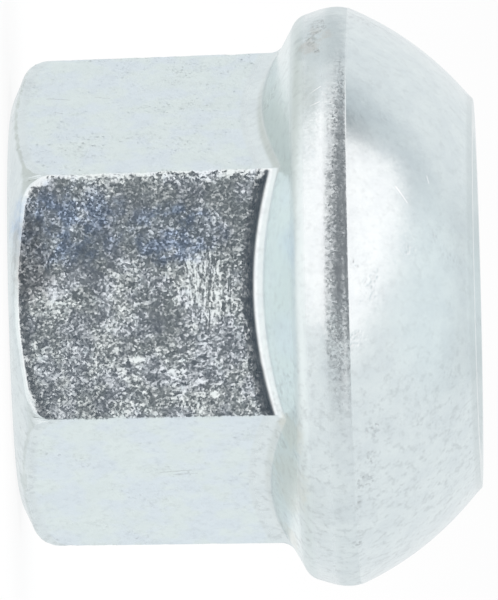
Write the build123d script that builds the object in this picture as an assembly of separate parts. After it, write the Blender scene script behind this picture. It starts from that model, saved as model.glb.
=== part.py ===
from build123d import *
from math import cos, radians, sin, sqrt, tan
import os

# Open-ended wheel nut with a ball seat, forged and tapped in one piece.
# Millimetres. The nut stands on its hexagon end: origin at the centre of that
# end face, +Z along the bore towards the ball seat, two flats facing -Y and +Y.

# Stud thread: the bore is left at the thread's minor diameter
THREAD_DIAMETER = 18.0
THREAD_PITCH = 1.5
THREAD_DEPTH_SHARE = 5 / 8 * sqrt(3) / 2    # of the pitch, ISO metric profile
COUNTERSINK_MARGIN = 0.3                    # countersink radius beyond the thread's
COUNTERSINK_ANGLE = 45.0                    # from the axis

# Hexagon
HEX_SIDES = 6
ACROSS_FLATS = 24.0          # at the foot, where the hexagon is widest
FLAT_LENGTH = 14.2           # end face to the collar's back, along the middle of a flat
HEX_DRAFT = 0.6              # degrees a side, narrowing towards the end
HEX_CORNER_RADIUS = 0.6
FOOT_RADIUS = 1.1            # between the flats and the collar's back

# Crowned end of the hexagon
END_INSET = 1.9              # edge of the flat end face, inwards from the flats
END_ROUND_RADIUS = 4.0       # between the end face and the chamfer
END_CHAMFER_ANGLE = 24.5     # from the end face
END_CORNER_RADIUS = 1.5      # between the chamfer and the hexagon's corners
END_DRAFT_SHARE = 0.7        # of the corners' narrowing by the draft, taken off the trim's reach

# Collar
COLLAR_STEP = 2.47           # edge of the rim, outwards from the hexagon's sharp corners
COLLAR_BACK_ANGLE = 29.0     # from a plane across the bore
SHOULDER_RADIUS = 0.8        # between the collar's back and the rim
RIM_WIDTH = 2.28             # along the axis, from the collar's back to the rim's edge
RIM_TAPER = 9.5              # degrees from the axis, widening towards the edge
LAND_WIDTH = 0.5             # along the axis, from the rim's edge to the ball
LAND_TAPER = 8.0             # degrees from the axis, narrowing towards the ball

# Ball seat
BALL_ANGLE = 23.7            # slope of the ball from the axis, where it leaves the land
SEAT_FACE_DIAMETER = 21.9    # flat end face
SEAT_BEVEL = 0.3             # wide and high, between the ball and the end face

OVERRUN = 2.0                # how far a cutting shape runs past what it cuts

# Radii
half_side_angle = radians(180 / HEX_SIDES)
hex_radius = ACROSS_FLATS / 2
hex_corner_reach = hex_radius / cos(half_side_angle)
round_corner_reach = hex_corner_reach - HEX_CORNER_RADIUS * (1 / cos(half_side_angle) - 1)
corner_narrowing = FLAT_LENGTH * tan(radians(HEX_DRAFT))
trim_reach = round_corner_reach - END_DRAFT_SHARE * corner_narrowing
bore_radius = THREAD_DIAMETER / 2 - THREAD_DEPTH_SHARE * THREAD_PITCH
countersink_radius = THREAD_DIAMETER / 2 + COUNTERSINK_MARGIN
end_face_radius = hex_radius - END_INSET
rim_radius = hex_corner_reach + COLLAR_STEP
shoulder_radius = rim_radius - RIM_WIDTH * tan(radians(RIM_TAPER))
ball_start_radius = rim_radius - LAND_WIDTH * tan(radians(LAND_TAPER))
ball_radius = ball_start_radius / cos(radians(BALL_ANGLE))
seat_face_radius = SEAT_FACE_DIAMETER / 2
ball_end_radius = seat_face_radius + SEAT_BEVEL


def ball_height_at(radius):
    """Height above the ball's centre at which the ball has this radius."""
    return sqrt(ball_radius**2 - radius**2)


# Heights, stacked from the hexagon's end face
back_slope = tan(radians(COLLAR_BACK_ANGLE))
back_apex_z = FLAT_LENGTH - hex_radius * back_slope
shoulder_z = back_apex_z + shoulder_radius * back_slope
rim_z = shoulder_z + RIM_WIDTH
ball_start_z = rim_z + LAND_WIDTH
ball_z = ball_start_z - ball_height_at(ball_start_radius)
ball_end_z = ball_z + ball_height_at(ball_end_radius)
length = ball_end_z + SEAT_BEVEL


def corner_arc(before, corner, after, radius):
    """Arc of this radius that rounds the corner between the straight runs from before and to after."""
    corner = Vector(*corner)
    back = (Vector(*before) - corner).normalized()
    ahead = (Vector(*after) - corner).normalized()
    half_angle = radians(back.get_angle(ahead) / 2)
    reach = radius / tan(half_angle)
    middle = corner + (back + ahead).normalized() * (radius / sin(half_angle) - radius)
    return ThreePointArc(corner + back * reach, middle, corner + ahead * reach)


def turned(profile):
    """The solid that a flat profile sweeps about the bore's axis, its X as radius and Y as height."""
    return revolve(Plane.XZ * profile, axis=Axis.Z)


def collar():
    """Collar with its coned back, tapered rim, narrow land and ball seat."""
    back_apex = (0, back_apex_z)
    rim_edge = (rim_radius, rim_z)
    shoulder = corner_arc(back_apex, (shoulder_radius, shoulder_z), rim_edge, SHOULDER_RADIUS)
    ball_start = (ball_start_radius, ball_start_z)
    ball_middle_radius = (ball_start_radius + ball_end_radius) / 2
    ball_middle = (ball_middle_radius, ball_z + ball_height_at(ball_middle_radius))
    ball_end = (ball_end_radius, ball_end_z)
    profile = make_face(
        [
            Line(back_apex, shoulder @ 0),
            shoulder,
            Polyline(shoulder @ 1, rim_edge, ball_start),
            ThreePointArc(ball_start, ball_middle, ball_end),
            Polyline(ball_end, (seat_face_radius, length), (0, length), back_apex),
        ]
    )
    return turned(profile)


def end_trim():
    """Ring that trims the hexagon's end to a large round, a chamfer and rounded corners."""
    outside = round_corner_reach + OVERRUN
    round_reach = END_ROUND_RADIUS * tan(radians(END_CHAMFER_ANGLE / 2))
    chamfer_start = (end_face_radius + round_reach, 0)
    chamfer_width = trim_reach - end_face_radius - round_reach
    chamfer_end = (trim_reach, chamfer_width * tan(radians(END_CHAMFER_ANGLE)))
    chamfer_left = chamfer_width / cos(radians(END_CHAMFER_ANGLE)) - round_reach
    corner_share = tan(radians((90 - END_CHAMFER_ANGLE) / 2))
    corner_radius = min(END_CORNER_RADIUS, chamfer_left / corner_share)
    top = chamfer_end[1] + corner_radius * corner_share
    end_round = corner_arc((end_face_radius, 0), chamfer_start, chamfer_end, END_ROUND_RADIUS)
    corner = corner_arc(chamfer_start, chamfer_end, (trim_reach, top), corner_radius)
    profile = make_face(
        [
            end_round,
            Line(end_round @ 1, corner @ 0),
            corner,
            Polyline(
                corner @ 1,
                (outside, top),
                (outside, -OVERRUN),
                (end_face_radius, -OVERRUN),
                end_round @ 0,
            ),
        ]
    )
    return turned(profile)


def hexagon():
    """Drafted hexagon with rounded corners and a crowned end, reaching up inside the collar."""
    draft_gain = (rim_z - FLAT_LENGTH) * tan(radians(HEX_DRAFT))
    outline = RegularPolygon(hex_radius + draft_gain, HEX_SIDES, major_radius=False)
    outline = fillet(outline.vertices(), HEX_CORNER_RADIUS)
    prism = extrude(Plane.XY.offset(rim_z) * outline, -rim_z, taper=HEX_DRAFT)
    return prism - end_trim()


def bore():
    """Cutting shape for the bore, with a countersink at each end."""
    spread = tan(radians(COUNTERSINK_ANGLE))
    depth = (countersink_radius - bore_radius) / spread
    mouth_radius = countersink_radius + OVERRUN * spread
    profile = make_face(
        Polyline(
            (0, -OVERRUN),
            (mouth_radius, -OVERRUN),
            (bore_radius, depth),
            (bore_radius, length - depth),
            (mouth_radius, length + OVERRUN),
            (0, length + OVERRUN),
            close=True,
        )
    )
    return turned(profile)


def lug_nut():
    """The whole nut: the hexagon filleted into the collar, then bored through."""
    head = hexagon()
    seat = collar()
    blank = head + seat
    blank = fillet(new_edges(head, seat, combined=blank), FOOT_RADIUS)
    return blank - bore()


os.makedirs("parts", exist_ok=True)
export_step(lug_nut(), "parts/lug_nut.step")
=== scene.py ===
from math import asin, atan2, cos, pi, radians, sin, sqrt, tan

import bmesh
import bpy
from mathutils import Matrix, Vector, noise


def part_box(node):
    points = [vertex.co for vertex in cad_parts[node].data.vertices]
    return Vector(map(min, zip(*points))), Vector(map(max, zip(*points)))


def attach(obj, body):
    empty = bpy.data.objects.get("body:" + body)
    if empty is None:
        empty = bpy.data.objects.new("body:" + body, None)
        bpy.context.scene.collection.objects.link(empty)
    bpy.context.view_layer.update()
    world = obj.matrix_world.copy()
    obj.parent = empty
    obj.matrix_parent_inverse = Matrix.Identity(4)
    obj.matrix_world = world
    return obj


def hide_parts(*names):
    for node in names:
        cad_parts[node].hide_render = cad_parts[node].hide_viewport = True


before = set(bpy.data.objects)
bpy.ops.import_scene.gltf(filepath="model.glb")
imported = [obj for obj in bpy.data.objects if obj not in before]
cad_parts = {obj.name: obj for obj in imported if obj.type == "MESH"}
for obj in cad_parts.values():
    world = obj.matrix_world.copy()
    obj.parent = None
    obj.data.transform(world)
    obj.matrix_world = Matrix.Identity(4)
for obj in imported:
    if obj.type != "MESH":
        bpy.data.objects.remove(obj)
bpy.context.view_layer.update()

# The nut's sizes are millimetres, and its mesh is scaled to metres when it is made.
# It stands on its hexagon end, with +Z towards the ball seat and two flats facing -Y and +Y.
MM = 0.001
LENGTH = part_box("lug_nut")[1].z / MM
RIGHT_ANGLE = radians(90)
X_AXIS = (1, 0, 0)
Z_AXIS = (0, 0, 1)

# Stud thread, M18 x 1.5, right hand
THREAD_RADIUS = 9.0
THREAD_PITCH = 1.5
BORE_RADIUS = 8.188
COUNTERSINK_RADIUS = 9.3
THREAD_RUNOUT = 1.5          # turns past each end
THREAD_END_MARGIN = 0.08     # thread this near to an end lies on the end face

# Thread's profile as shares of its pitch: crest, flank, root, flank
CREST_SHARE = 1 / 4
ROOT_SHARE = 1 / 8
FLANK_SHARE = (1 - CREST_SHARE - ROOT_SHARE) / 2
ROOT_START = CREST_SHARE + FLANK_SHARE
ROOT_END = ROOT_START + ROOT_SHARE
THREAD_PHASES = (
    0,
    CREST_SHARE,
    CREST_SHARE + FLANK_SHARE / 2,
    ROOT_START,
    ROOT_END,
    ROOT_END + FLANK_SHARE / 2,
)

# Hexagon
HEX_SIDES = 6
HALF_SIDE = radians(180 / HEX_SIDES)
FLAT_DISTANCE = 12.0
FLAT_LENGTH = 14.2
HEX_DRAFT = radians(0.6)
HEX_CORNER_RADIUS = 0.25
END_FACE_RADIUS = 10.1
END_ROUND_RADIUS = 4.0
END_CHAMFER = radians(24.5)
END_CORNER_REACH = 13.66
END_CORNER_RADIUS = 1.5
END_EDGE_RADIUS = 0.42
FOOT_RADIUS = 0.9

# Collar and ball seat
BACK_ANGLE = radians(29)
BACK_APEX_Z = FLAT_LENGTH - FLAT_DISTANCE * tan(BACK_ANGLE)
SHOULDER_REACH = 15.82
SHOULDER_RADIUS = 1.2
RIM_RADIUS = 16.33
RIM_CROWN_Z = 18.5
RIM_TAPER = radians(14.5)
RIM_BEND_RADIUS = 4.2
RIM_EDGE_Z = 19.16
RIM_EDGE_ROUND = 2.0
RIM_EDGE_BREAK = 0.03
BALL_RADIUS = 17.753
BALL_Z = 12.031
BALL_END_RADIUS = 11.25
SEAT_FACE_RADIUS = 10.95

# Forging waves and worn nicks
WAVE_DEPTH = 0.012
WAVE_LENGTH = 2.6
NICK_DEPTH = 0.1
NICK_LENGTH = 0.8
NICK_START = 0.1             # noise above this makes a nick
WORN_BOTTOM = 0.3
WORN_TOP = LENGTH - 0.4
EDGE_WEAR_ANGLE = radians(2.2)

# Rows of the outer profile: how many lie along each stretch, in order from the hexagon's end
ROWS = {
    "ring": 2,
    "crown": 12,
    "end_edge": 5,
    "flat": 40,
    "foot": 8,
    "back": 8,
    "shoulder": 5,
    "rim": 13,
    "ball": 26,
    "bevel": 2,
    "seat_ring": 3,
}

# Columns round the nut: steps over a rounded corner and along a flat
CORNER_STEPS = 4
FLAT_STEPS = 52

SETTLE_ROUNDS = 6            # rounds in which the meeting of two surfaces settles
MERGE_DISTANCE = 1e-4
SLIVER_LENGTH = 1e-5
SHARP_ANGLE = radians(35)

# How each stretch's plate looks: grained, and painted paler on the collar's back and shoulder as
# painted light for the brightness they reflect
GRAIN = {
    "ring": 0.3,
    "crown": 0.3,
    "end_edge": 0.0,
    "flat": 0.5,
    "foot": 0.0,
    "back": 0.1,
    "shoulder": 0.3,
    "rim": 0.18,
    "ball": 0.08,
    "bevel": 0.2,
    "seat_ring": 0.3,
}
# painted light: share of paler zinc painted on each stretch for the light it reflects
PAINTED_LIGHT_SHARES = {"back": 1.0, "shoulder": 0.5}
FLAT_GRAIN_GAIN = 0.5        # away from the flat's two ends
FOOT_STRIP = 0.9             # smooth strip of the flat along its foot
GRAIN_FADE = 0.3
RIM_GRAIN_GAIN = 0.5         # near the rim's edge
RIM_DULL_Z = RIM_CROWN_Z - 0.72
RIM_DULL_FADE = 0.4
LAYERS = ("grain", "edge", "bore", "pale", "dull")


def line(start, end, count):
    """Points from start up to, but not on, end."""
    return [
        (start[0] + (end[0] - start[0]) * i / count, start[1] + (end[1] - start[1]) * i / count)
        for i in range(count)
    ]


def arc(centre, radius, start, end, count):
    """Points of an arc from one angle up to, but not on, another."""
    angles = [start + (end - start) * i / count for i in range(count)]
    return [(centre[0] + radius * cos(a), centre[1] + radius * sin(a)) for a in angles]


def held(value):
    """The value, held between 0 and 1."""
    return min(max(value, 0), 1)


def flat_distance(z):
    """Distance of the drafted flats from the axis at a height."""
    return FLAT_DISTANCE - (FLAT_LENGTH - z) * tan(HEX_DRAFT)


def hex_reach(turn, z):
    """Radius of the hexagon at an angle from the middle of a flat, with its corner rounded."""
    middle = flat_distance(z)
    core = middle - HEX_CORNER_RADIUS
    turn = abs(turn)
    if middle * tan(turn) < core * tan(HALF_SIDE):
        return middle / cos(turn)
    centre = core / cos(HALF_SIDE)
    off = centre * sin(HALF_SIDE - turn)
    return centre * cos(HALF_SIDE - turn) + sqrt(HEX_CORNER_RADIUS**2 - off**2)


def crown(radius):
    """Height and slope of the hexagon's crowned end at a radius."""
    run = radius - END_FACE_RADIUS
    round_run = END_ROUND_RADIUS * sin(END_CHAMFER)
    round_rise = END_ROUND_RADIUS * (1 - cos(END_CHAMFER))
    if run < round_run:
        slope = asin(max(run, 0) / END_ROUND_RADIUS)
        return END_ROUND_RADIUS * (1 - cos(slope)), slope
    corner = END_CORNER_REACH - END_CORNER_RADIUS
    if radius < corner + END_CORNER_RADIUS * sin(END_CHAMFER):
        return round_rise + (run - round_run) * tan(END_CHAMFER), END_CHAMFER
    corner_z = round_rise + (corner - END_FACE_RADIUS - round_run) * tan(END_CHAMFER)
    corner_z += END_CORNER_RADIUS / cos(END_CHAMFER)
    slope = asin(min((radius - corner) / END_CORNER_RADIUS, 1))
    return corner_z - END_CORNER_RADIUS * cos(slope), slope


def crown_edge(turn):
    """Radius, height and slope where the crown meets the hexagon's side."""
    height = 0
    for _ in range(SETTLE_ROUNDS):
        radius = hex_reach(turn, height)
        height, slope = crown(radius)
    return radius, height, slope


def back_z(radius):
    """Height of the collar's coned back at a radius."""
    return BACK_APEX_Z + radius * tan(BACK_ANGLE)


def rim_at(z):
    """Radius of the rim at a height: a straight taper, bent over at its widest towards its edge."""
    drop = RIM_CROWN_Z - z
    if drop < 0:
        return RIM_RADIUS - drop**2 / (2 * RIM_EDGE_ROUND)
    bend = min(drop, RIM_BEND_RADIUS * tan(RIM_TAPER))
    return RIM_RADIUS - bend**2 / (2 * RIM_BEND_RADIUS) - (drop - bend) * tan(RIM_TAPER)


def collar_rows():
    """The collar's profile from its shoulder on, the same all round."""
    corner = Vector((SHOULDER_REACH, back_z(SHOULDER_REACH)))
    turn = RIGHT_ANGLE - BACK_ANGLE - RIM_TAPER
    reach = SHOULDER_RADIUS * tan(turn / 2)
    start = corner - Vector((cos(BACK_ANGLE), sin(BACK_ANGLE))) * reach
    centre = start + Vector((-sin(BACK_ANGLE), cos(BACK_ANGLE))) * SHOULDER_RADIUS
    rows = arc(centre, SHOULDER_RADIUS, BACK_ANGLE - RIGHT_ANGLE, -RIM_TAPER, ROWS["shoulder"])
    rim_start = centre + Vector((cos(RIM_TAPER), -sin(RIM_TAPER))) * SHOULDER_RADIUS
    lift = rim_start.x - rim_at(rim_start.y)
    rim_end = RIM_EDGE_Z - RIM_EDGE_BREAK
    for i in range(ROWS["rim"]):
        share = i / (ROWS["rim"] - 1)
        z = rim_start.y + (rim_end - rim_start.y) * share
        rows.append((rim_at(z) + lift * (1 - share) ** 2, z))
    ball_start = asin((RIM_EDGE_Z + RIM_EDGE_BREAK - BALL_Z) / BALL_RADIUS)
    ball_end = atan2(sqrt(BALL_RADIUS**2 - BALL_END_RADIUS**2), BALL_END_RADIUS)
    rows += arc((0, BALL_Z), BALL_RADIUS, ball_start, ball_end, ROWS["ball"])
    bevel_start = (BALL_END_RADIUS, BALL_Z + BALL_RADIUS * sin(ball_end))
    rows += line(bevel_start, (SEAT_FACE_RADIUS, LENGTH), ROWS["bevel"])
    rows += line((SEAT_FACE_RADIUS, LENGTH), (COUNTERSINK_RADIUS, LENGTH), ROWS["seat_ring"])
    return rows + [(COUNTERSINK_RADIUS, LENGTH)]


def hexagon_rows(turn, shoulder):
    """The hexagon's profile at an angle from the middle of a flat, up to the collar's shoulder."""
    radius, height, slope = crown_edge(turn)
    edge_turn = RIGHT_ANGLE - slope
    reach = END_EDGE_RADIUS * tan(edge_turn / 2)
    crown_end = radius - reach * cos(slope)
    rows = line((COUNTERSINK_RADIUS, 0), (END_FACE_RADIUS, 0), ROWS["ring"])
    radii = [
        END_FACE_RADIUS + (crown_end - END_FACE_RADIUS) * i / ROWS["crown"]
        for i in range(ROWS["crown"])
    ]
    rows += [(r, crown(r)[0]) for r in radii]
    flat_start = height + reach
    edge_centre = (radius - END_EDGE_RADIUS, flat_start)
    rows += arc(edge_centre, END_EDGE_RADIUS, slope - RIGHT_ANGLE, 0, ROWS["end_edge"])
    foot_z = FLAT_LENGTH
    for _ in range(SETTLE_ROUNDS):
        foot_reach = hex_reach(turn, foot_z)
        foot_z = back_z(foot_reach)
    foot_end = RIGHT_ANGLE + BACK_ANGLE
    flat_end = foot_z - FOOT_RADIUS / tan(foot_end / 2)
    shares = [i / ROWS["flat"] for i in range(ROWS["flat"])]
    heights = [flat_start + (flat_end - flat_start) * s for s in shares]
    rows += [(hex_reach(turn, z), z) for z in heights]
    foot_centre = (hex_reach(turn, flat_end) + FOOT_RADIUS, flat_end)
    rows += arc(foot_centre, FOOT_RADIUS, pi, foot_end, ROWS["foot"])
    back_start = (
        foot_centre[0] + FOOT_RADIUS * cos(foot_end),
        foot_centre[1] + FOOT_RADIUS * sin(foot_end),
    )
    return rows + line(back_start, shoulder, ROWS["back"])


def column_angles():
    """Angles round the nut, even along the flats and close together on the rounded corners."""
    middle = flat_distance(FLAT_LENGTH / 2)
    core = middle - HEX_CORNER_RADIUS
    edge = core * tan(HALF_SIDE)
    side = []
    for i in range(CORNER_STEPS):
        bend = HALF_SIDE * i / CORNER_STEPS
        x = core + HEX_CORNER_RADIUS * cos(HALF_SIDE - bend)
        y = edge + HEX_CORNER_RADIUS * sin(HALF_SIDE - bend)
        side.append(-atan2(y, x))
    for i in range(FLAT_STEPS + 1):
        side.append(atan2(edge * (2 * i / FLAT_STEPS - 1), middle))
    side += [-turn for turn in side[1:CORNER_STEPS][::-1]]
    return [(HALF_SIDE * (2 * k + 1), turn) for k in range(HEX_SIDES) for turn in side]


def thread_reach(phase):
    """Radius of the internal thread at a share of its pitch."""
    depth = THREAD_RADIUS - BORE_RADIUS
    if phase <= CREST_SHARE:
        return BORE_RADIUS
    if phase <= ROOT_START:
        return BORE_RADIUS + depth * (phase - CREST_SHARE) / FLANK_SHARE
    if phase <= ROOT_END:
        return THREAD_RADIUS
    return THREAD_RADIUS - depth * (phase - ROOT_END) / FLANK_SHARE


def thread_column(angle):
    """The thread's profile at one angle, run past both ends and pressed onto the countersinks."""
    rows = []
    turns = int(LENGTH / THREAD_PITCH + 2 * THREAD_RUNOUT)
    for turn in range(turns):
        for phase in THREAD_PHASES:
            z = THREAD_PITCH * (turn - THREAD_RUNOUT + phase + angle / (2 * pi))
            if z < THREAD_END_MARGIN:
                z = 0
            if z > LENGTH - THREAD_END_MARGIN:
                z = LENGTH
            countersink = COUNTERSINK_RADIUS - min(z, LENGTH - z)
            rows.append((max(thread_reach(phase), countersink), z))
    return rows


def rim_edge_share(z):
    """1 on the rim near its edge, falling to 0 towards its shoulder."""
    return held((z - RIM_DULL_Z) / RIM_DULL_FADE)


def dull_of(zone, z):
    """How dull the plate is: worn on the shoulder and along the rim's edge."""
    return {"shoulder": 1.0, "rim": rim_edge_share(z)}.get(zone, 0.0)


def grain_of(zone, z, turn):
    """How grained the plate is: most on the flats, but not at their ends, and at the rim's edge."""
    if zone == "rim":
        return GRAIN[zone] + RIM_GRAIN_GAIN * rim_edge_share(z)
    if zone != "flat":
        return GRAIN[zone]
    foot = back_z(FLAT_DISTANCE / cos(turn)) - FOOT_STRIP
    end = crown_edge(turn)[1] + END_EDGE_RADIUS
    return GRAIN[zone] + FLAT_GRAIN_GAIN * held(min(foot - z, z - end) / GRAIN_FADE)


def edge_of(zone, turn):
    """1 on the hexagon's worn edges, falling to 0 beside them."""
    if zone == "end_edge":
        return 1.0
    if zone not in ("flat", "crown"):
        return 0.0
    return max(0, 1 - (HALF_SIDE - abs(turn)) / EDGE_WEAR_ANGLE)


def stitch(mesh, columns, shift, inward):
    """Quads between neighbouring columns, the last meeting the first a shift of rows further on."""
    count = len(columns)
    for i, column in enumerate(columns):
        following = columns[(i + 1) % count]
        step = shift if i == count - 1 else 0
        for k in range(len(column) - 1):
            if k + 1 + step >= len(following):
                break
            quad = [column[k], following[k + step], following[k + 1 + step], column[k + 1]]
            mesh.faces.new(quad[::-1] if inward else quad)


def wear(mesh):
    """Sinks the forged surfaces by faint waves and the hexagon's edges by small nicks."""
    edge = mesh.verts.layers.float["edge"]
    bore = mesh.verts.layers.float["bore"]
    mesh.normal_update()
    outer = [v for v in mesh.verts if v[bore] == 0 and WORN_BOTTOM < v.co.z < WORN_TOP]
    moves = []
    for vert in outer:
        wave = 0.5 - noise.noise(vert.co / WAVE_LENGTH) / 2
        nick = max(noise.noise(vert.co / NICK_LENGTH) - NICK_START, 0) * vert[edge]
        moves.append(vert.normal * (WAVE_DEPTH * wave + NICK_DEPTH * nick))
    for vert, move in zip(outer, moves):
        vert.co -= move


def nut_mesh():
    """The nut as one closed mesh in millimetres, whose layers say how the plate looks and where
    painted light makes it paler.
    """
    collar = collar_rows()
    zones = [name for name, count in ROWS.items() for _ in range(count)] + ["seat_ring"]
    mesh = bmesh.new()
    layers = mesh.verts.layers.float
    for name in LAYERS:
        layers.new(name)
    grain, edge, bore, pale, dull = (layers[name] for name in LAYERS)
    columns = []
    bores = []
    for middle, turn in column_angles():
        angle = middle + turn
        rows = hexagon_rows(turn, collar[0]) + collar
        column = []
        for (radius, z), zone in zip(rows, zones):
            vert = mesh.verts.new((radius * cos(angle), radius * sin(angle), z))
            vert[grain] = grain_of(zone, z, turn)
            vert[edge] = edge_of(zone, turn)
            vert[pale] = PAINTED_LIGHT_SHARES.get(zone, 0.0)
            vert[dull] = dull_of(zone, z)
            column.append(vert)
        columns.append(column)
        inner = []
        for radius, z in thread_column(angle % (2 * pi)):
            vert = mesh.verts.new((radius * cos(angle), radius * sin(angle), z))
            vert[bore] = 1
            inner.append(vert)
        bores.append(inner)
    stitch(mesh, columns, 0, False)
    stitch(mesh, bores, len(THREAD_PHASES), True)
    bmesh.ops.remove_doubles(mesh, verts=mesh.verts, dist=MERGE_DISTANCE)
    bmesh.ops.dissolve_degenerate(mesh, edges=mesh.edges, dist=SLIVER_LENGTH)
    bmesh.ops.recalc_face_normals(mesh, faces=mesh.faces)
    wear(mesh)
    return mesh


def make_nut():
    """The finished nut as an object in the shared frame."""
    made = nut_mesh()
    bmesh.ops.scale(made, vec=(MM, MM, MM), verts=made.verts)
    data = bpy.data.meshes.new("lug_nut_finished")
    made.to_mesh(data)
    made.free()
    data.polygons.foreach_set("use_smooth", [True] * len(data.polygons))
    data.set_sharp_from_angle(angle=SHARP_ANGLE)
    nut = bpy.data.objects.new("lug_nut_finished", data)
    bpy.context.scene.collection.objects.link(nut)
    return nut


# Marks fade out across these shares of their reach or width
PATCH_FADE = (1.2, 0.6)
SCRATCH_CORE = 0.3

# Noise and cells give random colours, which spread about a middle grey
MIDDLE_GREY = (0.5, 0.5, 0.5)
CLOUD_ROUGHNESS = 0.6


class Nodes:
    """Short calls for the nodes of one material or world."""

    def __init__(self, tree):
        self.tree = tree
        tree.nodes.clear()

    def new(self, kind, inputs=None, **settings):
        """A node with its settings, and its inputs set or linked by name or place."""
        node = self.tree.nodes.new(kind)
        for name, value in settings.items():
            setattr(node, name, value)
        for name, value in (inputs or {}).items():
            self.feed(node.inputs[name], value)
        return node

    def feed(self, socket, value):
        """Links a node's output to a socket, or sets the socket's own value."""
        if isinstance(value, bpy.types.NodeSocket):
            self.tree.links.new(value, socket)
        else:
            socket.default_value = value

    def layer(self, name):
        """A float layer of the mesh."""
        return self.new("ShaderNodeAttribute", attribute_name=name).outputs["Fac"]

    def math(self, operation, *values):
        """A number worked out from numbers or outputs."""
        return self.new("ShaderNodeMath", dict(enumerate(values)), operation=operation).outputs[0]

    def vector(self, operation, *values):
        """A vector worked out from vectors or outputs."""
        node = self.new("ShaderNodeVectorMath", dict(enumerate(values)), operation=operation)
        return node.outputs["Vector"]

    def along(self, way, axis):
        """How far a vector reaches along an axis."""
        node = self.new("ShaderNodeVectorMath", {0: way, 1: axis}, operation="DOT_PRODUCT")
        return node.outputs["Value"]

    def scaled(self, way, share):
        """A vector times a number."""
        node = self.new("ShaderNodeVectorMath", {0: way, "Scale": share}, operation="SCALE")
        return node.outputs["Vector"]

    def length(self, way):
        """Length of a vector."""
        return self.new("ShaderNodeVectorMath", {0: way}, operation="LENGTH").outputs["Value"]

    def total(self, *values):
        """Sum of several numbers."""
        result = values[0]
        for value in values[1:]:
            result = self.math("ADD", result, value)
        return result

    def times(self, *values):
        """Product of several numbers."""
        result = values[0]
        for value in values[1:]:
            result = self.math("MULTIPLY", result, value)
        return result

    def ramp(self, value, low, high, start=0.0, end=1.0):
        """Smooth change from start to end as a value goes from low to high."""
        inputs = {"Value": value, "From Min": low, "From Max": high, "To Min": start, "To Max": end}
        node = self.new("ShaderNodeMapRange", inputs, interpolation_type="SMOOTHSTEP")
        return node.outputs["Result"]

    def band(self, value, low, high, soft):
        """1 between two values and 0 outside them, with soft ends."""
        rise = self.ramp(value, low - soft, low + soft)
        fall = self.ramp(value, high - soft, high + soft, 1.0, 0.0)
        return self.math("MULTIPLY", rise, fall)

    def mix(self, factor, first, second):
        """One colour fading into another."""
        node = self.new("ShaderNodeMix", data_type="RGBA")
        self.feed(node.inputs["Factor"], factor)
        self.feed(node.inputs[6], first)
        self.feed(node.inputs[7], second)
        return node.outputs[2]

    def noise(self, place, scale, detail=2.0, roughness=0.5):
        """Smooth noise, about 0 to 1."""
        inputs = {"Vector": place, "Scale": scale, "Detail": detail, "Roughness": roughness}
        return self.new("ShaderNodeTexNoise", inputs).outputs["Fac"]

    def clouds(self, place, scale, detail):
        """Three smooth noises at once, each about -0.5 to 0.5."""
        inputs = {"Vector": place, "Scale": scale, "Detail": detail, "Roughness": CLOUD_ROUGHNESS}
        cloud = self.new("ShaderNodeTexNoise", inputs).outputs["Color"]
        return self.vector("SUBTRACT", cloud, MIDDLE_GREY)

    def cells(self, place, scale):
        """Random colour of each of many small cells, and the distance from the cell's middle."""
        node = self.new("ShaderNodeTexVoronoi", {"Vector": place, "Scale": scale})
        return node.outputs["Color"], node.outputs["Distance"]

    def facing(self, colour, spread, lean, share):
        """Tilt of a facet from its cell's random colour: spread about a lean, times a share."""
        way = self.vector("MULTIPLY", self.vector("SUBTRACT", colour, MIDDLE_GREY), spread)
        return self.scaled(self.vector("ADD", way, lean), share)

    def scratch(self, place, start, end, width):
        """1 along a straight scratch from one point to another, 0 beside it."""
        run = Vector(end) - Vector(start)
        away = self.vector("SUBTRACT", place, start)
        share = self.along(away, tuple(run / run.length_squared))
        share = self.math("MINIMUM", self.math("MAXIMUM", share, 0.0), 1.0)
        beside = self.vector("SUBTRACT", away, self.scaled(tuple(run), share))
        return self.ramp(self.length(beside), width, width * SCRATCH_CORE)

    def patch(self, place, centre, reach):
        """1 inside an oval place on the nut, fading to 0 at its edge."""
        away = self.vector("DIVIDE", self.vector("SUBTRACT", place, centre), reach)
        return self.ramp(self.length(away), *PATCH_FADE)

    def patches(self, place, ovals):
        """1 inside any of several oval places on the nut."""
        result = self.patch(place, *ovals[0])
        for oval in ovals[1:]:
            result = self.math("MAXIMUM", result, self.patch(place, *oval))
        return result


# Marks on the plate, and places of painted shade, millimetres: an oval's middle (x, y, z) and its
# reach along each axis
SCUFF = ((-0.3, -12, 11.3), (2.3, 2, 1.7))
FLECKS = ((4.2, -12, 8.6), (1.8, 2, 5.2))
CHIPS = (
    ((3.0, -12, 6.0), (0.2, 1, 0.22)),
    ((3.55, -12, 7.15), (0.2, 1, 0.4)),
    ((4.25, -12, 9.4), (0.15, 1, 0.6)),
    ((4.8, -12, 10.8), (0.2, 1, 0.35)),
    ((5.6, -12, 11.5), (0.22, 1, 0.3)),
    ((-6.5, -11.8, 1.9), (0.3, 1, 0.75)),
)
# a darker oval on the front flat near the hexagon's end
DARK_CORNER = ((-2.0, -12, 1.4), (2.6, 2, 1.2))
BLUE_CASTS = (
    ((-4.0, -12, 3.4), (2.2, 3, 3.6)),
    ((-3.5, -12, 9.5), (1.8, 3, 2.8)),
)
# painted shade: a greyer oval high on the rim, for the darker surround it reflects
RIM_TOP_SHADE = ((-14.4, -7.5, 17.7), (2.6, 4.5, 1.5))
SMUDGE = ((-14.2, -7.8, 17.4), (1.3, 2.0, 0.9))
STAINS = (
    ((7.9, -12.4, 15.7), (1.2, 1.5, 0.9)),
    ((13.5, -3.6, 15.3), (1.0, 2.0, 0.8)),
    ((10.4, -9.0, 15.6), (2.2, 3.5, 1.2)),
)
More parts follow.
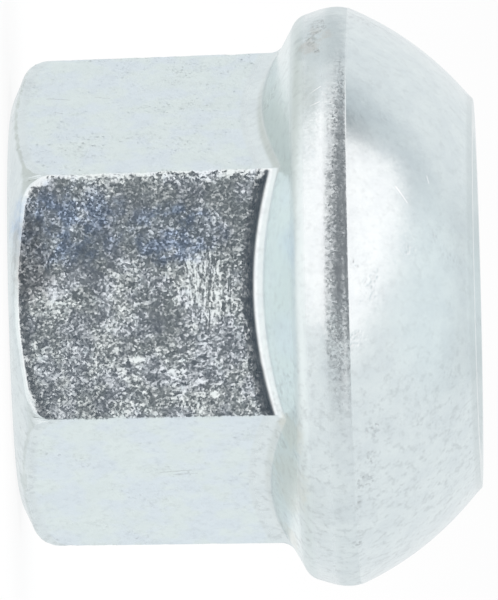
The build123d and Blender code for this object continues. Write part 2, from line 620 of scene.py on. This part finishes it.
PITS = (
    ((7.8, -13.6, 20.3), (0.6, 0.6, 0.6)),
    ((9.3, -12.7, 20.1), (0.5, 0.5, 0.5)),
    ((10.7, -11.9, 19.8), (0.7, 0.7, 0.7)),
    ((11.8, -11.1, 19.25), (0.6, 0.6, 0.4)),
    ((14.2, -8.1, 19.1), (0.4, 0.4, 0.4)),
    ((-12.2, -10.8, 18.9), (0.35, 0.35, 0.25)),
    ((-15.0, -6.0, 17.6), (0.9, 1.6, 0.5)),
    ((-14.3, -7.6, 17.2), (0.7, 1.4, 0.35)),
    ((-13.6, -8.8, 17.6), (0.4, 0.9, 0.3)),
)

# Bright scratches, from one point to another, painted white as the highlight they catch
SCRATCHES = (
    ((-11.0, -11.7, 17.0), (-11.5, -11.5, 17.8)),
    ((-10.4, -12.3, 17.2), (-10.6, -12.3, 17.7)),
    ((-6.3, -11.9, 23.6), (-5.9, -12.0, 23.7)),
    ((-5.7, -13.6, 21.9), (-4.8, -13.5, 22.5)),
)
DULL_SCRATCHES = (
    ((-11.4, -4.0, 2.2), (-11.3, -4.2, 3.5)),
    ((-11.4, -4.0, 4.9), (-11.3, -4.2, 5.7)),
    ((-10.6, -5.4, 2.7), (-10.5, -5.6, 3.1)),
    ((9.8, -6.9, 8.2), (9.7, -7.1, 9.9)),
    ((9.9, -6.7, 8.9), (9.9, -6.8, 10.2)),
)
SCRATCH_WIDTH = 0.05
DULL_SCRATCH_WIDTH = 1.5 * SCRATCH_WIDTH

# Colours of the plate, of its marks, and of its painted light and shade
ZINC = (0.755, 0.82, 0.83, 1)
DEEP_ZINC = (0.695, 0.76, 0.782, 1)
# painted light: paler zinc for the collar's back and shoulder
PAINTED_LIGHT_ZINC = (0.80, 0.88, 0.885, 1)
GREEN_ZINC = (0.80, 0.89, 0.875, 1)
BLUE_ZINC = (0.765, 0.85, 0.925, 1)
MOTTLE_GREY = (0.60, 0.655, 0.67, 1)
# painted shade: grey for the seat's bevel and end face
END_SHADE_GREY = (0.60, 0.655, 0.665, 1)
# painted shade high on the rim
RIM_SHADE_GREY = (0.55, 0.62, 0.64, 1)
CAST_BLUE = (0.46, 0.60, 0.80, 1)
CORNER_GREY = (0.42, 0.44, 0.44, 1)
SMUDGE_BROWN = (0.56, 0.55, 0.52, 1)
STAIN_YELLOW = (0.75, 0.765, 0.70, 1)
PIT_GREY = (0.42, 0.46, 0.48, 1)
# painted highlight: near white for the glint of the bright scratches
SCRATCH_GLINT_WHITE = (0.95, 0.97, 0.98, 1)
SCRATCH_GREY = (0.55, 0.6, 0.61, 1)

# How strongly the marks, and the painted light and shade, show
HUE_SHARE = 0.5
END_SHADE_SHARE = 0.5
RIM_SHADE_SHARE = 0.65
CAST_SHARE = 0.25
BROKEN_CAST_SHARE = 0.55
CORNER_SHARE = 0.6
SMUDGE_SHARE = 0.5
STAIN_SHARE = 0.5
PIT_SHARE = 0.5
RAGGED_PIT_SHARE = 0.7
LOOSE_PIT_SHARE = 0.35
DULL_SCRATCH_SHARE = 0.6
CHIP_SHARE = 0.7

# Facets: how many cells lie along a millimetre, or a cell's size, then their tilt and lean
FINE_CELLS = 9.0
FINE_TILT = (0.28, 0.28, 0.28)
COARSE_CELLS = 4.5
COARSE_TILT = (0.1, 0.1, 0.1)
NO_LEAN = (0, 0, 0)
FLAT_LEAN = (0, 0, -0.03)
SCUFF_CELL = (0.55, 0.55, 0.1)
SCUFF_TILT = (0.1, 0.1, 0.3)
SCUFF_LEAN = (0, 0, -0.07)
FLECK_CELL = (0.2, 0.5, 0.4)
FLECK_TILT = (0.08, 0.08, 0.2)
FLECK_LEAN = (0, 0, -0.02)
SWELL_TILT = 0.35
KNOCK = (0, 0, -0.28)
PIT_CELLS = 3.4
PIT_DEPTH = 0.04

# Noises: scale to the millimetre, detail, roughness
DEPTH_NOISE = (0.5, 2.0)
BRUISE_NOISE = (2.4, 3.0)
CLOUD_NOISE = (0.7, 6.0, 0.65)
MOTTLE_NOISE = (2.2, 4.0, 0.62)
HUE_NOISE = (0.6, 3.0)
BREAK_NOISE = (1.2, 3.0, 0.6)
PIT_SPREAD_NOISE = (0.35, 2.0)
RAGGED_NOISE = (4.0, 3.0)
GLOSS_NOISE = (2.0, 2.0)
SWELL_CLOUDS = (0.5, 4.0)

# Wandering of the marks' edges: a cloud's scale and detail, then how far it shifts them
CELL_CLOUDS = (7.0, 1.0)
CELL_SHIFT = 0.12
MARK_CLOUDS = (1.1, 3.0)
MARK_SHIFT = (2.2, 0, 2.2)
SCRATCH_CLOUDS = (3.0, 2.0)
SCRATCH_SHIFT = 0.15

# Ramps: from one value to another, then the result at each where it isn't 0 and 1
DEPTH_RAMP = (0.35, 0.65, 0.75, 1.2)
FLAT_RAMP = (0.7, 1.0)
LEAN_RAMP = (-6.0, 0.0, -0.4, 1.0)
WORN_SIDE_RAMP = (3.0, -3.0, 0.2, 1.0)
BRUISE_RAMP = (0.38, 0.52)
CLOUD_RAMP = (0.3, 0.7)
MOTTLE_RAMP = (0.47, 0.72)
MOTTLE_SIDE_RAMP = (1.0, 8.0, 0.4, 0.9)
HUE_RAMP = (0.4, 0.6)
END_FACE_RAMP = (LENGTH - 0.4, LENGTH - 0.2)
BREAK_RAMP = (0.4, 0.62)
PIT_SPREAD_RAMP = (0.6, 0.72)
PIT_RAMP = (0.5, 0.1)
RAGGED_RAMP = (0.5, 0.68)

# Roughness: of the smooth plate, and what the noise, the grain and the worn places add
SMOOTH_ROUGHNESS = 0.18
NOISE_ROUGHNESS = 0.08
GRAIN_ROUGHNESS = 0.12
DULL_ROUGHNESS = 0.12


def knocked_share(n, place, loose, edge):
    """1 where the hexagon's edges are bruised, and less in the chips."""
    worn_side = n.ramp(n.along(place, X_AXIS), *WORN_SIDE_RAMP)
    bruised = n.times(edge, worn_side, n.ramp(n.noise(place, *BRUISE_NOISE), *BRUISE_RAMP))
    return n.math("MAXIMUM", bruised, n.times(n.patches(loose, CHIPS), CHIP_SHARE))


def plate_facets(n, place, wander, grain, edge):
    """The plate's normal: small tilted facets, streaked where it was scuffed and worn on edges."""
    loose = n.vector("ADD", place, n.scaled(n.clouds(place, *CELL_CLOUDS), CELL_SHIFT))
    depth = n.times(n.ramp(n.noise(place, *DEPTH_NOISE), *DEPTH_RAMP), grain)
    fine = n.facing(n.cells(loose, FINE_CELLS)[0], FINE_TILT, NO_LEAN, depth)
    coarse = n.facing(n.cells(loose, COARSE_CELLS)[0], COARSE_TILT, NO_LEAN, depth)
    swells = n.scaled(n.clouds(place, *SWELL_CLOUDS), n.times(grain, SWELL_TILT))
    lean_share = n.ramp(n.along(place, X_AXIS), *LEAN_RAMP)
    lean = n.scaled(FLAT_LEAN, n.times(n.ramp(grain, *FLAT_RAMP), lean_share))
    streaks = n.cells(n.vector("DIVIDE", loose, SCUFF_CELL), 1.0)[0]
    scuffed = n.facing(streaks, SCUFF_TILT, SCUFF_LEAN, n.patch(wander, *SCUFF))
    flecks = n.cells(n.vector("DIVIDE", loose, FLECK_CELL), 1.0)[0]
    flecked = n.facing(flecks, FLECK_TILT, FLECK_LEAN, n.patch(wander, *FLECKS))
    knocked = n.scaled(KNOCK, knocked_share(n, place, loose, edge))
    normal = n.new("ShaderNodeNewGeometry").outputs["Normal"]
    for tilt in (fine, coarse, swells, lean, scuffed, flecked, knocked):
        normal = n.vector("ADD", normal, tilt)
    return n.vector("NORMALIZE", normal)


def pit_shares(n, place):
    """1 in the plate's small pits, which lie in a few clusters and are sparse elsewhere."""
    loose = n.ramp(n.noise(place, *PIT_SPREAD_NOISE), *PIT_SPREAD_RAMP)
    spread = n.math("MAXIMUM", n.times(loose, LOOSE_PIT_SHARE), n.patches(place, PITS))
    dots = n.times(n.ramp(n.cells(place, PIT_CELLS)[1], *PIT_RAMP), spread)
    ragged = n.ramp(n.noise(place, *RAGGED_NOISE), *RAGGED_RAMP)
    return n.math("MAXIMUM", dots, n.times(ragged, spread, RAGGED_PIT_SHARE))


def plain_colour(n, place, grain, pale):
    """Faintly blue zinc, painted paler as painted light on the collar's back, mottled grey, and
    darker on the end face as painted shade.
    """
    clouded = n.ramp(n.noise(place, *CLOUD_NOISE), *CLOUD_RAMP)
    colour = n.mix(clouded, ZINC, DEEP_ZINC)
    # painted light: the collar's back and shoulder are mixed towards paler zinc
    colour = n.mix(pale, colour, PAINTED_LIGHT_ZINC)
    mottled = n.ramp(n.noise(place, *MOTTLE_NOISE), *MOTTLE_RAMP)
    mottled = n.times(mottled, n.ramp(n.along(place, X_AXIS), *MOTTLE_SIDE_RAMP))
    colour = n.mix(mottled, colour, MOTTLE_GREY)
    hue = n.mix(n.ramp(n.noise(place, *HUE_NOISE), *HUE_RAMP), GREEN_ZINC, BLUE_ZINC)
    colour = n.mix(n.times(n.ramp(grain, *FLAT_RAMP), HUE_SHARE), colour, hue)
    # painted shade: the seat's bevel and end face are mixed towards grey for the darker reflection
    # there
    turned = n.ramp(n.along(place, Z_AXIS), *END_FACE_RAMP)
    return n.mix(n.times(turned, END_SHADE_SHARE), colour, END_SHADE_GREY)


def marked_colour(n, colour, place, wander, pits):
    """The plate's colour with painted shade high on the rim, its blue casts, a darker corner,
    smudge, stains, pits, and scratches, the bright ones painted white as their glint.
    """
    # painted shade high on the rim
    colour = n.mix(n.times(n.patch(wander, *RIM_TOP_SHADE), RIM_SHADE_SHARE), colour, RIM_SHADE_GREY)
    broken = n.ramp(n.noise(place, *BREAK_NOISE), *BREAK_RAMP)
    cast_share = n.total(CAST_SHARE, n.times(broken, BROKEN_CAST_SHARE))
    for oval in BLUE_CASTS:
        colour = n.mix(n.times(n.patch(wander, *oval), cast_share), colour, CAST_BLUE)
    # darker towards the front flat's corner at the hexagon's end
    colour = n.mix(n.times(n.patch(wander, *DARK_CORNER), CORNER_SHARE), colour, CORNER_GREY)
    smudged = n.times(n.patch(wander, *SMUDGE), broken, SMUDGE_SHARE)
    colour = n.mix(smudged, colour, SMUDGE_BROWN)
    for oval in STAINS:
        colour = n.mix(n.times(n.patch(wander, *oval), STAIN_SHARE), colour, STAIN_YELLOW)
    colour = n.mix(n.times(pits, PIT_SHARE), colour, PIT_GREY)
    # painted highlight: the bright scratches are painted near white as their glint
    for start, end in SCRATCHES:
        scratched = n.scratch(place, start, end, SCRATCH_WIDTH)
        colour = n.mix(scratched, colour, SCRATCH_GLINT_WHITE)
    shaky = n.vector("ADD", place, n.scaled(n.clouds(place, *SCRATCH_CLOUDS), SCRATCH_SHIFT))
    for start, end in DULL_SCRATCHES:
        scratched = n.scratch(shaky, start, end, DULL_SCRATCH_WIDTH)
        colour = n.mix(n.times(scratched, DULL_SCRATCH_SHARE), colour, SCRATCH_GREY)
    return colour


def zinc_plate():
    """Bright zinc plate over forged steel: grained flats and rim, smooth foot and ball."""
    material = bpy.data.materials.new("zinc_plated_steel")
    material.use_nodes = True
    n = Nodes(material.node_tree)
    place = n.scaled(n.new("ShaderNodeTexCoord").outputs["Object"], 1 / MM)
    shift = n.vector("MULTIPLY", n.clouds(place, *MARK_CLOUDS), MARK_SHIFT)
    wander = n.vector("ADD", place, shift)
    grain = n.layer("grain")
    pits = pit_shares(n, place)
    facets = plate_facets(n, place, wander, grain, n.layer("edge"))
    dents = n.new(
        "ShaderNodeBump",
        {"Height": n.times(pits, -PIT_DEPTH), "Distance": MM, "Strength": 1.0, "Normal": facets},
    )
    roughness = n.total(
        SMOOTH_ROUGHNESS,
        n.times(n.noise(place, *GLOSS_NOISE), NOISE_ROUGHNESS),
        n.times(grain, GRAIN_ROUGHNESS),
        n.times(n.layer("dull"), DULL_ROUGHNESS),
    )
    colour = plain_colour(n, place, grain, n.layer("pale"))
    shader = n.new(
        "ShaderNodeBsdfPrincipled",
        {
            "Base Color": marked_colour(n, colour, place, wander, pits),
            "Metallic": 1.0,
            "Roughness": roughness,
            "Normal": dents.outputs[0],
        },
    )
    n.new("ShaderNodeOutputMaterial", {"Surface": shader.outputs[0]})
    return material


# Studio: two soft panels with a dark gap between them stand on one plane, square to a direction
# that is turned from -Y towards -X. Reaches and rises are shares of that plane's distance.
PANEL_TURN = radians(35)
PANEL_SLANT = 0.27
LEAST_DEPTH = 0.02
LOWER_RISE = (-0.9, -0.18)
LOWER_REACH = (-1.15, 1.3)
UPPER_RISE = (0.87, 2.05)
UPPER_REACH = (-3.2, 0.62)
GAP_REACH = (-2.0, 2.7)
NOTCH_RISE = (0.75, 1.35)
NOTCH_REACH = (0.95, 1.35)
NOTCH_SHARE = 0.6
PANEL_SOFT = 0.15
UPPER_SOFT = 0.06
NOTCH_SOFT = 0.1
GAP_SOFT = 0.12
GAP_FADE = 3 * GAP_SOFT

# Shades of the surround: turns from -Y towards -X, and rises of a direction of length 1
HIGH_SHADE_TURN = (radians(70), radians(105))
HIGH_SHADE_SOFT = radians(8)
HIGH_SHADE_RISE = (0.1, 0.3)
LOW_SHADE_TURN = (radians(85), radians(150))
FAR_SHADE_TURN = (radians(-150), radians(-95))
FAR_SHADE_SHARE = 0.5
LOW_SHADE_SOFT = radians(10)
LOW_SHADE_RISE = (-0.95, -0.4)
LOW_SHADE_RISE_SOFT = 0.1
OVERHEAD_RISE = (0.85, 0.95)
BEHIND_REACH = (-0.05, 0.2)
GROUND_RISE = (-0.5, -0.8)
GROUND_REACH = (0.1, -0.2)

# Colours of the studio
WHITE = (1, 1, 1, 1)
SURROUND = (0.955, 0.965, 0.97, 1)
HIGH_SHADE = (0.70, 0.74, 0.765, 1)
LOW_SHADE = (0.76, 0.77, 0.74, 1)
OVERHEAD = (0.945, 0.985, 0.995, 1)
BEHIND = (0.79, 0.81, 0.82, 1)
GROUND = (1.16, 1.15, 1.14, 1)
PANEL_LIGHT = (1.38, 1.31, 1.30, 1)
GAP_DARK = (0.03, 0.046, 0.066, 1)
PAPER = (0.93, 0.93, 0.93, 1)

# Floor and lamp, metres and watts
FLOOR_REACH = 8.0
FLOOR_WHITE_SHARE = 0.85
LAMP_SIZE = 1.2
LAMP_HEIGHT = 1.2
LAMP_POWER = 4.0


def surround_light(n, way):
    """Near-white surround, shaded high and low at the sides, and tinted above and below."""
    x, y, z = n.new("ShaderNodeSeparateXYZ", {0: way}).outputs
    turn = n.math("ARCTAN2", n.times(x, -1), n.times(y, -1))
    high_turn = n.band(turn, *HIGH_SHADE_TURN, HIGH_SHADE_SOFT)
    lit = n.mix(n.times(high_turn, n.ramp(z, *HIGH_SHADE_RISE)), SURROUND, HIGH_SHADE)
    near_turn = n.band(turn, *LOW_SHADE_TURN, LOW_SHADE_SOFT)
    far_turn = n.times(n.band(turn, *FAR_SHADE_TURN, LOW_SHADE_SOFT), FAR_SHADE_SHARE)
    low = n.band(z, *LOW_SHADE_RISE, LOW_SHADE_RISE_SOFT)
    lit = n.mix(n.times(n.total(near_turn, far_turn), low), lit, LOW_SHADE)
    overhead = n.ramp(z, *OVERHEAD_RISE)
    lit = n.mix(overhead, lit, OVERHEAD)
    lit = n.mix(n.times(overhead, n.ramp(y, *BEHIND_REACH)), lit, BEHIND)
    return n.mix(n.times(n.ramp(z, *GROUND_RISE), n.ramp(y, *GROUND_REACH)), lit, GROUND)


def panel_shares(n, way):
    """How much of the bright panels, and how much of the dark between them, lies in a direction."""
    facing = (-sin(PANEL_TURN), -cos(PANEL_TURN), 0)
    across = (-cos(PANEL_TURN), sin(PANEL_TURN), 0)
    depth = n.along(way, facing)
    ahead = n.math("GREATER_THAN", depth, LEAST_DEPTH)
    safe_depth = n.math("MAXIMUM", depth, LEAST_DEPTH)
    side = n.math("DIVIDE", n.along(way, across), safe_depth)
    rise = n.math("DIVIDE", n.along(way, Z_AXIS), safe_depth)
    slanted = n.math("SUBTRACT", rise, n.times(side, PANEL_SLANT))
    leaning = n.math("SUBTRACT", side, n.times(rise, PANEL_SLANT))
    upper_start, upper_end = UPPER_RISE
    gap_start = LOWER_RISE[1]
    below = n.ramp(rise, upper_start - GAP_FADE, upper_start, 1.0, 0.0)
    upper = n.times(
        n.math("SUBTRACT", 1.0, below),
        n.ramp(rise, upper_end - PANEL_SOFT, upper_end + PANEL_SOFT, 1.0, 0.0),
        n.band(leaning, *UPPER_REACH, UPPER_SOFT),
    )
    lower_reach = n.band(side, *LOWER_REACH, PANEL_SOFT)
    lower = n.times(n.band(slanted, *LOWER_RISE, GAP_SOFT), lower_reach)
    gap = n.times(
        n.ramp(slanted, gap_start - GAP_SOFT, gap_start + GAP_SOFT),
        below,
        n.band(side, *GAP_REACH, PANEL_SOFT),
    )
    notch = n.times(
        n.band(side, *NOTCH_REACH, NOTCH_SOFT),
        n.band(rise, *NOTCH_RISE, PANEL_SOFT),
        NOTCH_SHARE,
    )
    bright = n.times(n.total(upper, lower), ahead)
    dark = n.times(n.math("MAXIMUM", gap, notch), ahead)
    return bright, dark


def studio_world():
    """The surround with two brighter soft panels and a dark gap, plain white to the camera."""
    world = bpy.data.worlds.new("studio")
    world.use_nodes = True
    n = Nodes(world.node_tree)
    way = n.new("ShaderNodeTexCoord").outputs["Generated"]
    bright, dark = panel_shares(n, way)
    lit = n.mix(bright, surround_light(n, way), PANEL_LIGHT)
    lit = n.mix(dark, lit, GAP_DARK)
    seen = n.mix(n.new("ShaderNodeLightPath").outputs["Is Camera Ray"], lit, WHITE)
    background = n.new("ShaderNodeBackground", {"Color": seen, "Strength": 1.0})
    n.new("ShaderNodeOutputWorld", {"Surface": background.outputs[0]})
    bpy.context.scene.world = world


def floor_material():
    """Pale matt paper, mostly white to the camera, so that the shadow on it stays faint."""
    material = bpy.data.materials.new("pale_floor")
    material.use_nodes = True
    n = Nodes(material.node_tree)
    paper = n.new("ShaderNodeBsdfDiffuse", {"Color": PAPER})
    white = n.new("ShaderNodeEmission", {"Color": WHITE, "Strength": 1.0})
    seen = n.times(n.new("ShaderNodeLightPath").outputs["Is Camera Ray"], FLOOR_WHITE_SHARE)
    shader = n.new("ShaderNodeMixShader", {0: seen, 1: paper.outputs[0], 2: white.outputs[0]})
    n.new("ShaderNodeOutputMaterial", {"Surface": shader.outputs[0]})
    return material


def make_floor():
    """A wide floor under the nut, which the nut's own reflections leave to the surround."""
    data = bpy.data.meshes.new("floor")
    signs = ((-1, -1), (1, -1), (1, 1), (-1, 1))
    corners = [(x * FLOOR_REACH, y * FLOOR_REACH, 0) for x, y in signs]
    data.from_pydata(corners, [], [(0, 1, 2, 3)])
    floor = bpy.data.objects.new("floor", data)
    floor.visible_glossy = False
    data.materials.append(floor_material())
    bpy.context.scene.collection.objects.link(floor)


def make_lamp():
    """A broad soft lamp above the floor."""
    data = bpy.data.lights.new("top_lamp", "AREA")
    data.shape = "DISK"
    data.size = LAMP_SIZE
    data.energy = LAMP_POWER
    lamp = bpy.data.objects.new("top_lamp", data)
    lamp.location = (0, 0, LAMP_HEIGHT)
    lamp.visible_glossy = False
    bpy.context.scene.collection.objects.link(lamp)


# Camera: the photograph shows the nut on its side, so its up is the nut's -X
PHOTO_SIZE = (498, 600)
PHOTO_SCALE = 17.75          # pixels a millimetre
CAMERA_SPIN = radians(1.4)
CAMERA_RISE = radians(1.6)
CAMERA_ROLL = radians(1.4)
CAMERA_DISTANCE = 1.25
CAMERA_SIGHT = 20
AIM = Vector((0, 0, 13 * MM))
AIM_PIXEL = (245.8, 298.7)
SENSOR = 36.0


def make_camera():
    """Camera at the photograph's viewing angle."""
    spin, rise = CAMERA_SPIN, CAMERA_RISE
    back = Vector((sin(spin) * cos(rise), -cos(spin) * cos(rise), sin(rise)))
    right = Vector((-sin(spin) * sin(rise), cos(spin) * sin(rise), cos(rise)))
    up = back.cross(right)
    rolled_right = right * cos(CAMERA_ROLL) - up * sin(CAMERA_ROLL)
    rolled_up = back.cross(rolled_right)
    data = bpy.data.cameras.new("camera")
    data.sensor_width = SENSOR
    data.lens = SENSOR * CAMERA_DISTANCE * PHOTO_SCALE / MM / PHOTO_SIZE[1]
    data.shift_x = (PHOTO_SIZE[0] / 2 - AIM_PIXEL[0]) / PHOTO_SIZE[1]
    data.shift_y = (AIM_PIXEL[1] - PHOTO_SIZE[1] / 2) / PHOTO_SIZE[1]
    data.clip_end = CAMERA_SIGHT
    camera = bpy.data.objects.new("camera", data)
    turned = Matrix((rolled_right, rolled_up, back)).transposed().to_4x4()
    camera.matrix_world = Matrix.Translation(AIM + back * CAMERA_DISTANCE) @ turned
    bpy.context.scene.collection.objects.link(camera)
    bpy.context.scene.camera = camera


nut = make_nut()
nut.data.materials.append(zinc_plate())
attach(nut, "root")
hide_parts("lug_nut")
studio_world()
make_floor()
make_lamp()
make_camera()
bpy.context.scene.view_settings.view_transform = "Standard"
